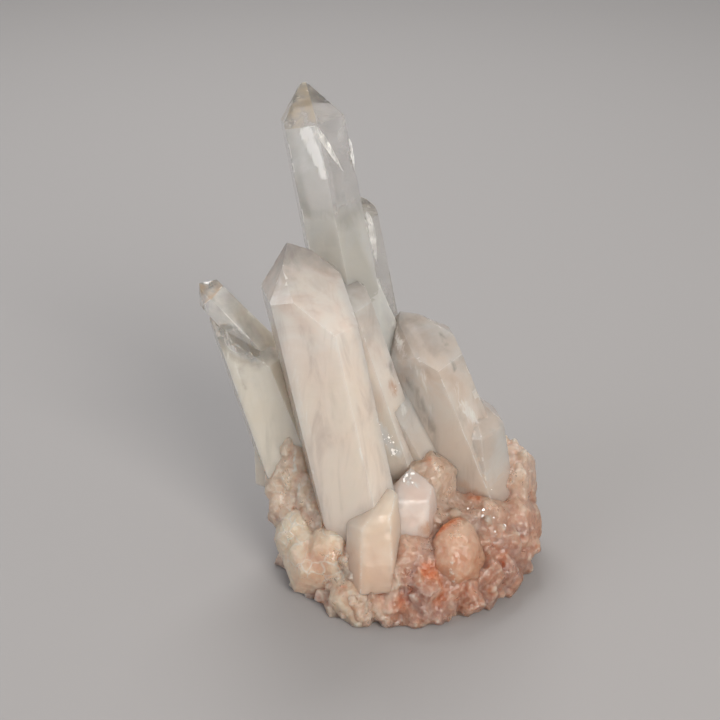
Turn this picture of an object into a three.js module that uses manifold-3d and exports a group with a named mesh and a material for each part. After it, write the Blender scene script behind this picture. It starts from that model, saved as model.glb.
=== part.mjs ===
// Himalayan pink quartz cluster: large quartz points grown together on a stained, crusted quartz base.
// Millimetres, +Z up. The origin is in the middle of the flat cut under the base.

import * as THREE from 'three';
import { ConvexGeometry } from 'three/addons/geometries/ConvexGeometry.js';
import { mergeVertices } from 'three/addons/utils/BufferGeometryUtils.js';
import Module from 'manifold-3d';

const wasm = await Module();
wasm.setup();

// Quartz habit: six prism faces along the c axis, and six terminal faces whose normals are
// this many degrees off the c axis. Three of them, every second one, are usually larger.
const TERMINAL_SLOPE = 51.8;

// Size of the base, which is the matrix that all the points grew on.
const BASE_HALF_WIDTH = 36;
const BASE_HALF_DEPTH = 34;
const BASE_HEIGHT = 30;

// Distances smaller than this count as nothing.
const TINY = 1e-6;

// The large crystals. tip is where the terminal faces would meet. left and back are the lean of the
// c axis in degrees. spin turns the first prism face from the front (-Y) toward the right (+X).
// length runs from the tip down into the base. across holds the distance from the c axis to each
// prism face. rise lifts a terminal face off the tip along the c axis, which makes that face smaller.
// taper is how many degrees the prism widens toward its root.
const TALL = {
  tip: [-30.2, 24, 140.8],
  left: 10.8,
  back: 10,
  spin: -20,
  length: 128,
  across: [8.6, 9.6, 9.4, 8.6, 9.4, 7.2],
  rise: [0, 1.6, 1.6, 0, 0.6, 0],
  taper: 0.4,
};
const FRONT = {
  tip: [-33.4, -2, 104.6],
  left: 11.5,
  back: 4.5,
  spin: -15.5,
  length: 98,
  across: [14, 18.2, 11.5, 10, 9, 9.8],
  rise: [5.2, 0, 3, -1, 0, 0.4],
  taper: 0,
};
const FRONT_FLANK = {
  tip: [-18.6, 6, 90.5],
  left: 17.5,
  back: 5,
  spin: -15.5,
  length: 80,
  across: [7.5, 6.5, 4.6, 7, 8, 8],
  rise: [2, 0, 1.5, 0, 2, 1],
  taper: 0.6,
};
const TALL_FLANK = {
  tip: [-18, 15, 97],
  left: 23.5,
  back: 6,
  spin: -20,
  length: 80,
  across: [7, 5.4, 3.8, 6, 9, 9],
  rise: [0, 1, 0, 2, 3, 0],
  taper: 0,
};
const SIDE = {
  tip: [-15.6, 20, 109.5],
  left: 10,
  back: 7,
  spin: -14,
  length: 92,
  across: [4.2, 5, 5, 5, 7, 6],
  rise: [0, 0, 2, 0, 3, 0],
  taper: 1.2,
};
const RIGHT = {
  tip: [-2.5, 10, 77.7],
  left: 22,
  back: 5,
  spin: -20,
  length: 74,
  across: [10, 13, 11.5, 10, 10, 9],
  rise: [2, 0, 3, 0, 6, 0],
  taper: 0,
};
const RIGHT_SHOULDER = {
  tip: [21, 5, 51.5],
  left: 9,
  back: 3,
  spin: -20,
  length: 48,
  across: [10, 7, 5.2, 10, 12, 14],
  rise: [5, 1.5, 0, 3, 6, 6],
  taper: 1,
};
const MIDDLE = {
  tip: [-13, 5, 66],
  left: 28,
  back: 6,
  spin: -16,
  length: 60,
  across: [7.5, 7, 5.6, 6, 10, 12],
  rise: [3, 0, 0, 3, 4, 6],
  taper: 0,
};
const LEFT = {
  tip: [-59.3, 6, 88.4],
  left: 42,
  back: 8,
  spin: -8,
  length: 66,
  across: [4.6, 3.8, 4.2, 4.6, 7.1, 4.1],
  rise: [1.2, 0, 3.2, 0, 2, 0],
  taper: 1.6,
};
const LEFT_LOWER = {
  tip: [-55.6, 4, 80.5],
  left: 19,
  back: 4,
  spin: -12,
  length: 60,
  across: [5, 13, 12, 8, 5, 1.6],
  rise: [1, 0, 0, 3, 1, 0],
  taper: 3,
};
const LEFT_SPUR = {
  tip: [-42.2, 1, 58],
  left: 0,
  back: -4,
  spin: -34,
  length: 34,
  across: [2.8, 3.2, 3, 2.6, 3, 2.8],
  rise: [0, 1, 0, 2, 0, 1],
  taper: 0.5,
};
const STUB = {
  tip: [-7.2, -19, 38.5],
  left: 1,
  back: 15,
  spin: 4,
  length: 31,
  across: [5.6, 3.4, 3, 5, 8.5, 8.5],
  rise: [-1, 1, 0, 0, 3, 0],
  taper: 4,
};
const FRONT_COLUMN = {
  tip: [0.5, -11, 40.5],
  left: -2,
  back: 18,
  spin: 10,
  length: 35,
  across: [5.5, 6.5, 6.5, 6, 7.5, 7.5],
  rise: [-3, 1, -1, 0, -2, -1],
  taper: 3,
};
const BACK_LEAN = {
  tip: [2, 42, 48],
  left: -4,
  back: 24,
  spin: 12,
  length: 50,
  across: [7, 8, 7.4, 8.4, 7, 7.6],
  rise: [0, 3, 0, 2, 0, 4],
  taper: 0.6,
};
const BACK_LOW = {
  tip: [25, 34, 33],
  left: -28,
  back: 32,
  spin: 25,
  length: 40,
  across: [5.4, 5, 6, 5.6, 5, 5.8],
  rise: [2, 0, 3, 0, 2, 0],
  taper: 0.5,
};

const LARGE_CRYSTALS = [
  TALL,
  FRONT,
  FRONT_FLANK,
  TALL_FLANK,
  SIDE,
  RIGHT,
  RIGHT_SHOULDER,
  MIDDLE,
  LEFT,
  LEFT_LOWER,
  LEFT_SPUR,
  STUB,
  FRONT_COLUMN,
  BACK_LEAN,
  BACK_LOW,
];

// The lumps that fill the base, overlapping, and the rounded crystal at the front of it. Each is cut by
// a number of flat faces. roughness is how far a face may be pulled in, as a part of its reach.
const LUMPS = [
  { centre: [-2, 2, 9], half: [33, 31, 22], faces: 34, roughness: 0.16, seed: 1 },
  { centre: [-22, -7, 11], half: [15, 15, 18], faces: 22, roughness: 0.2, seed: 2 },
  { centre: [0, -18, 6], half: [22, 18, 18], faces: 24, roughness: 0.16, seed: 3 },
  { centre: [21, 1, 9], half: [20, 22, 17], faces: 26, roughness: 0.18, seed: 4 },
  { centre: [-14, -26, 3], half: [10, 11, 10], faces: 16, roughness: 0.2, seed: 5 },
  { centre: [-24, 16, 20], half: [14, 15, 22], faces: 20, roughness: 0.2, seed: 6 },
  { centre: [-30, 3, 26], half: [9, 10, 18], faces: 18, roughness: 0.2, seed: 7 },
  { centre: [31, 7, 20], half: [9, 10, 14], faces: 18, roughness: 0.16, seed: 8 },
  { centre: [13.5, -23, 14], half: [8, 9, 13], faces: 40, roughness: 0.05, seed: 9 },
  { centre: [6, -5, 28], half: [8, 8, 12], faces: 16, roughness: 0.2, seed: 10 },
  { centre: [-36, 1, 31], half: [6, 8, 12], faces: 16, roughness: 0.2, seed: 11 },
  { centre: [-27, -17, 9], half: [8, 8, 11], faces: 16, roughness: 0.2, seed: 12 },
  { centre: [4, 16, 34], half: [20, 14, 14], faces: 20, roughness: 0.2, seed: 13 },
];

// Small crystals that crust the base. count of them stand on the base's ellipsoid, from one compass
// angle to another (0 is +X, 90 is +Y), between two heights given as parts of the base's height. They
// lean out of it, lift degrees above the horizon.
const CRUSTS = [
  { count: 34, from: 0, to: 360, low: 0.02, high: 0.14, lift: -6, radius: 2.8, length: 16, seed: 21 },
  { count: 26, from: 0, to: 360, low: 0.3, high: 0.55, lift: 24, radius: 2.6, length: 14, seed: 22 },
  { count: 30, from: -60, to: 60, low: 0.35, high: 0.85, lift: 46, radius: 1.9, length: 10, seed: 23 },
  { count: 14, from: 200, to: 300, low: 0.1, high: 0.6, lift: 10, radius: 2.4, length: 13, seed: 24 },
  { count: 9, from: -80, to: 100, low: 0.25, high: 0.6, lift: 50, radius: 5.2, length: 26, seed: 25 },
  { count: 16, from: -125, to: -30, low: 0.12, high: 0.6, lift: 22, radius: 3.4, length: 19, seed: 26 },
  { count: 12, from: 130, to: 215, low: 0.2, high: 0.8, lift: 30, radius: 3.2, length: 18, seed: 27 },
  { count: 14, from: 55, to: 190, low: 0.55, high: 0.97, lift: 56, radius: 4, length: 24, seed: 28 },
];

// How a small crystal differs from the next: the spread of its lift in degrees, the spread of its
// compass angle in radians, and the range of its size. CRUST_SHOWING is the part of its length that
// stands out of the base, and CRUST_ACROSS and CRUST_RISE are its faces as parts of its radius.
const CRUST_LIFT_SPREAD = 40;
const CRUST_SWING_SPREAD = 0.7;
const CRUST_SMALLEST = 0.65;
const CRUST_LARGEST = 1.35;
const CRUST_SHOWING = 0.26;
const CRUST_ACROSS = [1, 0.9, 1.1, 1, 0.95, 1.1];
const CRUST_RISE = [0, 0.5, 0, 0.6, 0, 0.4];

function unit(x, y, z) {
  return new THREE.Vector3(x, y, z).normalize();
}

// The c axis of a crystal that leans left and back by these degrees.
function leaningAxis(left, back) {
  const lean = THREE.MathUtils.degToRad(left);
  const recline = THREE.MathUtils.degToRad(back);
  return unit(-Math.tan(lean), Math.tan(recline), 1);
}

// Every corner that three of the planes share and that no plane cuts off.
function cornersInside(planes) {
  const corners = [];
  for (let i = 0; i < planes.length; i += 1) {
    for (let j = i + 1; j < planes.length; j += 1) {
      for (let k = j + 1; k < planes.length; k += 1) {
        const corner = meetingPoint(planes[i], planes[j], planes[k]);
        if (corner && planes.every((plane) => plane.normal.dot(corner) <= plane.offset + TINY)) {
          corners.push(corner);
        }
      }
    }
  }
  return corners;
}

// The point that three planes share, or null where two of them are parallel.
function meetingPoint(a, b, c) {
  const bc = b.normal.clone().cross(c.normal);
  const determinant = a.normal.dot(bc);
  if (Math.abs(determinant) < TINY) {
    return null;
  }
  const ca = c.normal.clone().cross(a.normal);
  const ab = a.normal.clone().cross(b.normal);
  bc.multiplyScalar(a.offset);
  ca.multiplyScalar(b.offset);
  ab.multiplyScalar(c.offset);
  return bc.add(ca).add(ab).divideScalar(determinant);
}

// The plane through a point. Everything on the far side of its normal is inside.
function planeThrough(point, normal) {
  return { normal, offset: normal.dot(point) };
}

// A quartz point: six prism faces, six terminal faces and a flat root.
function crystalAlong(axis, { tip, spin, length, across, rise, taper }) {
  const summit = new THREE.Vector3(...tip);
  const front = new THREE.Vector3(0, -1, 0);
  front.addScaledVector(axis, -front.dot(axis)).normalize();
  const side = front.clone().cross(axis).negate();
  const slope = THREE.MathUtils.degToRad(TERMINAL_SLOPE);
  const widening = THREE.MathUtils.degToRad(taper);
  const planes = [];
  for (let face = 0; face < 6; face += 1) {
    const turn = THREE.MathUtils.degToRad(spin + 60 * face);
    const outward = front.clone().multiplyScalar(Math.cos(turn)).addScaledVector(side, Math.sin(turn));
    const prism = outward.clone().multiplyScalar(Math.cos(widening));
    prism.addScaledVector(axis, Math.sin(widening));
    const terminal = outward.clone().multiplyScalar(Math.sin(slope));
    terminal.addScaledVector(axis, Math.cos(slope));
    planes.push(planeThrough(summit.clone().addScaledVector(outward, across[face]), prism));
    planes.push(planeThrough(summit.clone().addScaledVector(axis, rise[face]), terminal));
  }
  planes.push(planeThrough(summit.clone().addScaledVector(axis, -length), axis.clone().negate()));
  return new ConvexGeometry(cornersInside(planes));
}

function crystal(spec) {
  return crystalAlong(leaningAxis(spec.left, spec.back), spec);
}

// A closed geometry as a solid that can be joined and cut.
function solid(geometry) {
  geometry.deleteAttribute('normal');
  geometry.deleteAttribute('uv');
  const merged = mergeVertices(geometry, 1e-4);
  return new wasm.Manifold(
    new wasm.Mesh({
      numProp: 3,
      vertProperties: new Float32Array(merged.attributes.position.array),
      triVerts: new Uint32Array(merged.index.array),
    }),
  );
}

// A repeatable number from 0 to 1 for item i and use k.
function wobble(i, k) {
  const wave = Math.sin(i * 12.9898 + k * 78.233) * 43758.5453;
  return wave - Math.floor(wave);
}

// A blocky lump of quartz: an ellipsoid cut by flat faces that the golden angle spreads evenly.
function lump({ centre, half, faces, roughness, seed }) {
  const goldenAngle = Math.PI * (3 - Math.sqrt(5));
  const middle = new THREE.Vector3(...centre);
  const halves = new THREE.Vector3(...half);
  const planes = [];
  for (let i = 0; i < faces; i += 1) {
    const height = 1 - (2 * (i + 0.5)) / faces;
    const ring = Math.sqrt(1 - height * height);
    const turn = i * goldenAngle + seed;
    const normal = unit(ring * Math.cos(turn), ring * Math.sin(turn), height);
    const reach = normal.clone().multiply(halves).length() * (1 - roughness * wobble(i, seed));
    planes.push(planeThrough(middle.clone().addScaledVector(normal, reach), normal));
  }
  return new ConvexGeometry(cornersInside(planes));
}

// One small crystal of a crust, on the base's ellipsoid and leaning out of it.
function crustCrystal(crust, i) {
  const share = (i + wobble(i, crust.seed)) / crust.count;
  const turn = THREE.MathUtils.degToRad(crust.from + (crust.to - crust.from) * share);
  const height = crust.low + (crust.high - crust.low) * wobble(i, crust.seed + 1);
  const ring = Math.sqrt(1 - height * height);
  const lift = THREE.MathUtils.degToRad(
    crust.lift + CRUST_LIFT_SPREAD * (wobble(i, crust.seed + 2) - 0.5),
  );
  const swing = turn + CRUST_SWING_SPREAD * (wobble(i, crust.seed + 3) - 0.5);
  const axis = unit(Math.cos(swing) * Math.cos(lift), Math.sin(swing) * Math.cos(lift), Math.sin(lift));
  const size = CRUST_SMALLEST + (CRUST_LARGEST - CRUST_SMALLEST) * wobble(i, crust.seed + 4);
  const radius = crust.radius * size;
  const root = new THREE.Vector3(
    BASE_HALF_WIDTH * ring * Math.cos(turn),
    BASE_HALF_DEPTH * ring * Math.sin(turn),
    BASE_HEIGHT * height,
  );
  const tip = root.addScaledVector(axis, CRUST_SHOWING * crust.length * size);
  return crystalAlong(axis, {
    tip: tip.toArray(),
    spin: 60 * wobble(i, crust.seed + 5),
    length: crust.length * size,
    across: CRUST_ACROSS.map((part) => part * radius),
    rise: CRUST_RISE.map((part) => part * radius),
    taper: 1,
  });
}

// All the solids as one, joined two by two.
function manyJoined(solids) {
  let queue = solids;
  while (queue.length > 1) {
    const joined = [];
    for (let i = 0; i < queue.length; i += 2) {
      joined.push(i + 1 < queue.length ? queue[i].add(queue[i + 1]) : queue[i]);
    }
    queue = joined;
  }
  return queue[0];
}

// The outer skin of a joined solid as an index list: pockets that the joined pieces close off inside
// are filled, because their walls share no corner with the skin.
function outerSkin(triangles, cornerCount) {
  const parent = Array.from({ length: cornerCount }, (_, corner) => corner);
  const rootOf = (corner) => {
    let root = corner;
    while (parent[root] !== root) {
      parent[root] = parent[parent[root]];
      root = parent[root];
    }
    return root;
  };
  for (let i = 0; i < triangles.length; i += 3) {
    parent[rootOf(triangles[i + 1])] = rootOf(triangles[i]);
    parent[rootOf(triangles[i + 2])] = rootOf(triangles[i]);
  }
  const skins = new Map();
  for (let i = 0; i < triangles.length; i += 3) {
    const root = rootOf(triangles[i]);
    if (!skins.has(root)) {
      skins.set(root, []);
    }
    skins.get(root).push(triangles[i], triangles[i + 1], triangles[i + 2]);
  }
  return [...skins.values()].reduce((largest, skin) => (skin.length > largest.length ? skin : largest));
}

const pieces = [
  ...LARGE_CRYSTALS.map((spec) => solid(crystal(spec))),
  ...LUMPS.map((spec) => solid(lump(spec))),
];
for (const crust of CRUSTS) {
  for (let i = 0; i < crust.count; i += 1) {
    pieces.push(solid(crustCrystal(crust, i)));
  }
}

// The flat cut that the cluster stands on takes away all that reaches below it.
const CUT_WIDTH = 400;
const CUT_DEPTH = 100;
const below = new THREE.BoxGeometry(CUT_WIDTH, CUT_WIDTH, CUT_DEPTH);
below.translate(0, 0, -CUT_DEPTH / 2);
const cut = manyJoined(pieces).subtract(solid(below)).getMesh();

const geometry = new THREE.BufferGeometry();
geometry.setAttribute('position', new THREE.BufferAttribute(new Float32Array(cut.vertProperties), 3));
geometry.setIndex(outerSkin(cut.triVerts, cut.vertProperties.length / 3));
geometry.computeVertexNormals();

const quartz = new THREE.Mesh(
  geometry,
  new THREE.MeshStandardMaterial({ color: 0xc6b3a4, roughness: 0.3, metalness: 0 }),
);
quartz.name = 'quartz_cluster';

const group = new THREE.Group();
group.add(quartz);

export default group;
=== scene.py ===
import math

import bmesh
import bpy
from mathutils import Matrix, Vector, noise
from mathutils.bvhtree import BVHTree


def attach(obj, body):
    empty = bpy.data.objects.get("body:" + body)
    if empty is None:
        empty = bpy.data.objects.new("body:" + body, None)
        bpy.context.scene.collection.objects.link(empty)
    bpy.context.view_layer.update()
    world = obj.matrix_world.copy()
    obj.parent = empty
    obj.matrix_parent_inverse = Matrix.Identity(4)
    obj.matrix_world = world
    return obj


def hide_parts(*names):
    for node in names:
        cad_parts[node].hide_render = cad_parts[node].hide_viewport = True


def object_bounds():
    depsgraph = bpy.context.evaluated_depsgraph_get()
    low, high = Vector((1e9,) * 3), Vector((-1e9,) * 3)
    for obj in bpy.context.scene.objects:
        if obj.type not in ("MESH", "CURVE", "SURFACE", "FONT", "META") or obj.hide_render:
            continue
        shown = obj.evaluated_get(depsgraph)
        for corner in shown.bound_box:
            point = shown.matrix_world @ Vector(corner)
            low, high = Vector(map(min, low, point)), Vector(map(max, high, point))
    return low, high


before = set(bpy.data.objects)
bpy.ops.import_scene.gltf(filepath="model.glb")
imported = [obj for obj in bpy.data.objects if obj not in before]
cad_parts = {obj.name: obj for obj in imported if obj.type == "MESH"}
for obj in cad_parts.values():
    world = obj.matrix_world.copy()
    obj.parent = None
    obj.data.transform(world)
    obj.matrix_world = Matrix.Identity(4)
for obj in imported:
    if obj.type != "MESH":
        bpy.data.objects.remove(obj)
cad_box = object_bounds()

# All shapes are worked out in millimetres and scaled to metres when a piece is finished.
MM = 0.001

# The quartz habit: six prism faces along the c axis, and six terminal faces this far off it.
TERMINAL_SLOPE = math.radians(51.8)

# In the list of a crystal's faces a prism face and a terminal face take turns, and the root is last.
ROOT_FACE = 12

# The faces of the crystals and of the clouds in them are cut into cells of these sizes.
FACE_STEP = 1.3
CLOUD_STEP = 2.0

# An edge that turns by more than this is sharp, and wear nibbles it in this grain.
SHARP_TURN = math.radians(15)
WEAR_GRAIN = 0.55

# How far below its tip a cloud is drawn out in plumes.
PLUME_LENGTH = 22

# Where the small blunt crystals may stand: between these heights, and right of this side.
BLUNT_POINTS_HEIGHTS = (1.5, 34)
BLUNT_POINTS_SIDE = -24

# Of the many tiny steps in a break, the ones that are seen are turned this way, to the lamp.
TOWARD_LAMP = Vector((0.2, -0.85, 0.5))

# The base, an ellipsoid that carries the crusts of small crystals.
BASE_HALF_WIDTH = 36
BASE_HALF_DEPTH = 34
BASE_HEIGHT = 30

# The large crystals, with the tip, the lean of the c axis to the left and back, the turn of the first
# prism face, the length, the distance of each prism face from the c axis, the rise of each terminal
# face off the tip, and the widening toward the root. clear is how far below the tip the clouds begin
# and milky how far below it they are full. Then, where there is any, how clouded each prism face is,
# partly real clouding and partly a painted highlight that makes the faces lit from the left paler,
# and how much tan lies on each terminal face, partly a thin stain and partly a painted reflection of
# the base in the tall crystal's left terminal face.
TALL = dict(tip=(-30.2, 24, 140.8), left=10.8, back=10, spin=-20, length=128,
            across=(8.6, 9.6, 9.4, 8.6, 9.4, 7.2), rise=(0, 1.6, 1.6, 0, 0.6, 0), taper=0.4,
            clear=28, milky=50, haze=(0.5, 0, 0.1, 0, 0, 0.3), film=(0.85, 0.15, 0, 0, 0.2, 0.7))
SIDE = dict(tip=(-15.6, 20, 109.5), left=10, back=7, spin=-14, length=92,
            across=(4.2, 5, 5, 5, 7, 6), rise=(0, 0, 2, 0, 3, 0), taper=1.2,
            clear=34, milky=70, haze=(0.1, 0, 0, 0, 0, 0))
TALL_FLANK = dict(tip=(-18, 15, 97), left=23.5, back=6, spin=-20, length=80,
                  across=(7, 5.4, 3.8, 6, 9, 9), rise=(0, 1, 0, 2, 3, 0), taper=0,
                  clear=-6, milky=16)
FRONT = dict(tip=(-33.4, -2, 104.6), left=11.5, back=4.5, spin=-15.5, length=98,
             across=(14, 18.2, 11.5, 10, 9, 9.8), rise=(5.2, 0, 3, -1, 0, 0.4), taper=0,
             clear=-14, milky=22, film=(0, 0.15, 0.4, 0.6, 0.4, 0.2))
FRONT_FLANK = dict(tip=(-18.6, 6, 90.5), left=17.5, back=5, spin=-15.5, length=80,
                   across=(7.5, 6.5, 4.6, 7, 8, 8), rise=(2, 0, 1.5, 0, 2, 1), taper=0.6,
                   clear=-12, milky=14)
RIGHT = dict(tip=(-2.5, 10, 77.7), left=22, back=5, spin=-20, length=74,
             across=(10, 13, 11.5, 10, 10, 9), rise=(2, 0, 3, 0, 6, 0), taper=0,
             clear=-16, milky=16, film=(0, 0.1, 0.1, 0.1, 0, 0))
RIGHT_SHOULDER = dict(tip=(21, 5, 51.5), left=9, back=3, spin=-20, length=48,
                      across=(10, 7, 5.2, 10, 12, 14), rise=(5, 1.5, 0, 3, 6, 6), taper=1,
                      clear=-20, milky=4)
MIDDLE = dict(tip=(-13, 5, 66), left=28, back=6, spin=-16, length=60,
              across=(7.5, 7, 5.6, 6, 10, 12), rise=(3, 0, 0, 3, 4, 6), taper=0,
              clear=-20, milky=6)
LEFT = dict(tip=(-59.3, 6, 88.4), left=42, back=8, spin=-8, length=66,
            across=(4.6, 3.8, 4.2, 4.6, 7.1, 4.1), rise=(1.2, 0, 3.2, 0, 2, 0), taper=1.6,
            clear=0, milky=40, haze=(0.1, 0.2, 0.15, 0, 0, 0.2), film=(0.75, 0.75, 0.65, 0.65, 0.65, 0.75))
LEFT_LOWER = dict(tip=(-55.6, 4, 80.5), left=19, back=4, spin=-12, length=60,
                  across=(5, 13, 12, 8, 5, 1.6), rise=(1, 0, 0, 3, 1, 0), taper=3,
                  clear=-2, milky=24, film=(0.5, 0.1, 0, 0, 0, 0.5))
LEFT_SPUR = dict(tip=(-42.2, 1, 58), left=0, back=-4, spin=-34, length=34,
                 across=(2.8, 3.2, 3, 2.6, 3, 2.8), rise=(0, 1, 0, 2, 0, 1), taper=0.5,
                 clear=-4, milky=16)
STUB = dict(tip=(-7.2, -19, 38.5), left=1, back=15, spin=4, length=31,
            across=(5.6, 3.4, 3, 5, 8.5, 8.5), rise=(-1, 1, 0, 0, 3, 0), taper=4,
            clear=-20, milky=0)
FRONT_COLUMN = dict(tip=(0.5, -11, 40.5), left=-2, back=18, spin=10, length=35,
                    across=(5.5, 6.5, 6.5, 6, 7.5, 7.5), rise=(-3, 1, -1, 0, -2, -1), taper=3,
                    clear=-10, milky=10)
BACK_LEAN = dict(tip=(2, 42, 48), left=-4, back=24, spin=12, length=50,
                 across=(7, 8, 7.4, 8.4, 7, 7.6), rise=(0, 3, 0, 2, 0, 4), taper=0.6,
                 clear=4, milky=26)
BACK_LOW = dict(tip=(25, 34, 33), left=-28, back=32, spin=25, length=40,
                across=(5.4, 5, 6, 5.6, 5, 5.8), rise=(2, 0, 3, 0, 2, 0), taper=0.5,
                clear=2, milky=20)

# The front crystal has a clearer rim, this deep under its back terminal face and with this share of
# the clouds.
RIM_SPEC = FRONT
RIM_FACE = 3
RIM_DEPTH = 6.2
RIM_CLOUDS = 0.8

LARGE_CRYSTALS = (TALL, SIDE, TALL_FLANK, FRONT, FRONT_FLANK, RIGHT, RIGHT_SHOULDER, MIDDLE, LEFT,
                  LEFT_LOWER, LEFT_SPUR, STUB, FRONT_COLUMN, BACK_LEAN, BACK_LOW)

# Worked out for each of them: the c axis, and the width across it that is cut into cells.
for spec in LARGE_CRYSTALS:
    lean_left = math.tan(math.radians(spec["left"]))
    lean_back = math.tan(math.radians(spec["back"]))
    spec["axis"] = Vector((-lean_left, lean_back, 1)).normalized()
    spec["tip"] = Vector(spec["tip"])
    spec["width"] = 2.4 * max(spec["across"])
    spec.setdefault("haze", (0,) * 6)
    spec.setdefault("film", (0,) * 6)

# The blocky lumps that fill the base: centre, half sizes, number of faces, roughness and seed.
LUMPS = [
    ((-2, 2, 9), (33, 31, 22), 34, 0.16, 1),
    ((-22, -7, 11), (15, 15, 18), 22, 0.2, 2),
    ((0, -18, 6), (22, 18, 18), 24, 0.16, 3),
    ((21, 1, 9), (20, 22, 17), 26, 0.18, 4),
    ((-24, 16, 20), (14, 15, 22), 20, 0.2, 6),
    ((-30, 3, 26), (9, 10, 18), 18, 0.2, 7),
    ((31, 7, 20), (9, 10, 14), 18, 0.16, 8),
    ((6, -5, 28), (8, 8, 12), 16, 0.2, 10),
    ((-36, 1, 31), (6, 8, 12), 16, 0.2, 11),
    ((4, 16, 34), (20, 14, 14), 20, 0.2, 13),
]
ROUNDED_LUMP = ((13.5, -23, 14), (8, 9, 13), 40, 0.05, 9)

# Smoother lumps low on the left of the front, with thin white edges that are painted highlights.
CREAM_LUMPS = [
    ((-27, -17, 9), (8, 8, 11), 16, 0.2, 12),
    ((-14, -26, 3), (10, 11, 10), 16, 0.2, 5),
    ((-32, -10.5, 13.5), (7, 7, 10.5), 34, 0.05, 31),
    ((-22.5, -19.5, 12.5), (7, 7, 11), 34, 0.05, 32),
]

# More lumps that the photograph shows one by one: on the right, up the left edge, and the short blunt
# fingers along the foot of the front.
SMALL_LUMPS = [
    ((31, -3, 12), (9, 12, 11), 20, 0.14, 33),
    ((30, 4, 18), (8, 8, 15), 18, 0.14, 34),
    ((22, -12, 12), (9, 9, 11), 20, 0.14, 35),
    ((-34, -4, 41), (3.6, 4.4, 8), 18, 0.1, 36),
    ((-31.6, -6, 37), (3, 4.4, 8), 18, 0.1, 37),
    ((-33.4, -5.6, 33), (4.4, 5, 9), 18, 0.1, 40),
    ((-30, -8, 28), (3.4, 4.6, 9), 18, 0.1, 51),
    ((-36.6, -4.4, 28), (5, 5, 9), 18, 0.1, 48),
    ((-35.4, -6.6, 21), (5.4, 5, 9), 18, 0.1, 49),
    ((-27.6, -10, 22), (4, 5, 8), 18, 0.1, 52),
    ((-4, -28, 5), (8, 7, 7), 18, 0.16, 38),
    ((0, -28, 8), (6, 6, 9), 18, 0.16, 39),
    ((10.6, -32, 5), (2.6, 3.2, 6), 14, 0.1, 41),
    ((17.5, -29.5, 6), (2.4, 3.2, 7), 14, 0.1, 42),
    ((23, -26, 4), (3, 3.4, 5), 14, 0.1, 43),
    ((3.5, -33.5, 5), (4, 3, 6), 14, 0.1, 44),
    ((-6, -34, 4), (4, 3, 5), 14, 0.1, 45),
    ((-14, -33.5, 4), (3.6, 3.4, 6), 14, 0.1, 46),
    ((-10, -33, 6), (3, 3.4, 5), 14, 0.1, 50),
    ((29, -20, 5), (4, 4, 6), 14, 0.1, 47),
]

# The crusts of small crystals: how many, from and to which compass angle, between which parts of the
# base's height, the lift above the horizon, and the radius, length and seed.
CRUSTS = [
    (34, 0, 360, 0.02, 0.14, -6, 2.8, 16, 21),
    (26, 0, 360, 0.3, 0.55, 24, 2.6, 14, 22),
    (30, -60, 60, 0.35, 0.85, 46, 1.9, 10, 23),
    (14, 200, 300, 0.1, 0.6, 10, 2.4, 13, 24),
    (9, -80, 100, 0.25, 0.6, 50, 5.2, 26, 25),
    (16, -125, -30, 0.12, 0.6, 22, 3.4, 19, 26),
    (12, 130, 215, 0.2, 0.8, 30, 3.2, 18, 27),
    (14, 55, 190, 0.55, 0.97, 56, 4, 24, 28),
]
CRUST_LIFT_SPREAD = 40
CRUST_SWING_SPREAD = 0.7
CRUST_SIZES = (0.65, 1.35)
CRUST_SHOWING = 0.26
CRUST_ACROSS = (1, 0.9, 1.1, 1, 0.95, 1.1)
CRUST_RISE = (0, 0.5, 0, 0.6, 0, 0.4)

# Marks on the faces, each a stroke from a point to a point with its half width and its strength.
# Where iron stain gathers.
RUST_STROKES = [
    ((-22.6, -18.6, 22), (-20.6, -20.4, 12), 2.2, 1.0),
    ((-16, -30, 8.5), (-3, -33, 7.5), 3.2, 1.2),
    ((5.3, -29.8, 15), (8, -32, 7), 3.0, 1.2),
    ((5.6, -23, 24), (14, -19, 27.5), 2.6, 1.25),
    ((16, -30, 5), (12, -32, 3), 2.5, 0.7),
    ((10, -10, 30), (14, -9, 28), 2.2, 0.35),
    ((26, -18, 12), (30, -12, 9), 4.0, 0.9),
    ((-33, -7, 38), (-30, -8, 30), 3.0, 0.7),
    ((-31, -8, 26), (-29, -12, 21), 2.4, 0.8),
    ((33, -6, 14), (30, 2, 30), 3.0, 0.6),
    ((15.8, -5, 27.6), (20.5, -6.6, 24.6), 2.2, 0.9),
    ((-4.9, -2.5, 60.6), (-4.0, -2.5, 57.6), 1.6, 0.85),
    ((5.4, -7.4, 40.4), (6.8, -7.4, 36.4), 2.2, 0.6),
    ((-9, -17, 50), (-8, -17, 48), 1.0, 0.8),
    ((16, 30, 16), (8, 32, 12), 6.0, 0.7),
    ((-22, 30, 20), (-26, 22, 14), 6.0, 0.7),
]
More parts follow.
